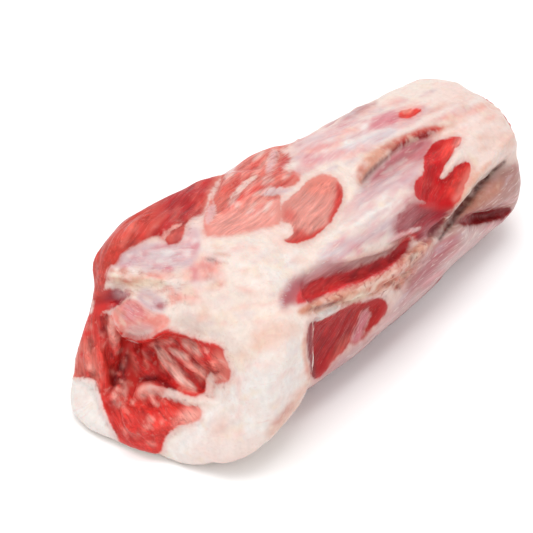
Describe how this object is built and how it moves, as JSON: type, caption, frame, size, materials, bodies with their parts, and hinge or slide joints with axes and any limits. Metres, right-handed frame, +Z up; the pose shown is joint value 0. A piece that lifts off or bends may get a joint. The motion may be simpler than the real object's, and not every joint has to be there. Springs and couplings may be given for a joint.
{
  "type": "boneless lamb shank",
  "caption": "Raw boneless lamb shank: a short tapered bundle of muscles with a ragged boned-out thick end, silverskin, sinew strands and a sheet of white fat, lying on its flat underside.",
  "frame": {"origin": "middle of the part's footprint, on the surface it lies on", "axes": "+X along the shank from the thick cut end to the narrow end, -Y the flank that the picture shows, +Z up"},
  "size_m": [0.1726, 0.0714, 0.053],
  "materials": {
    "meat": "moist raw meat: salmon to deep red lean, pearly silverskin, creamy white fat"
  },
  "bodies": {
    "root": {"shank": "meat"}
  },
  "joints": []
}
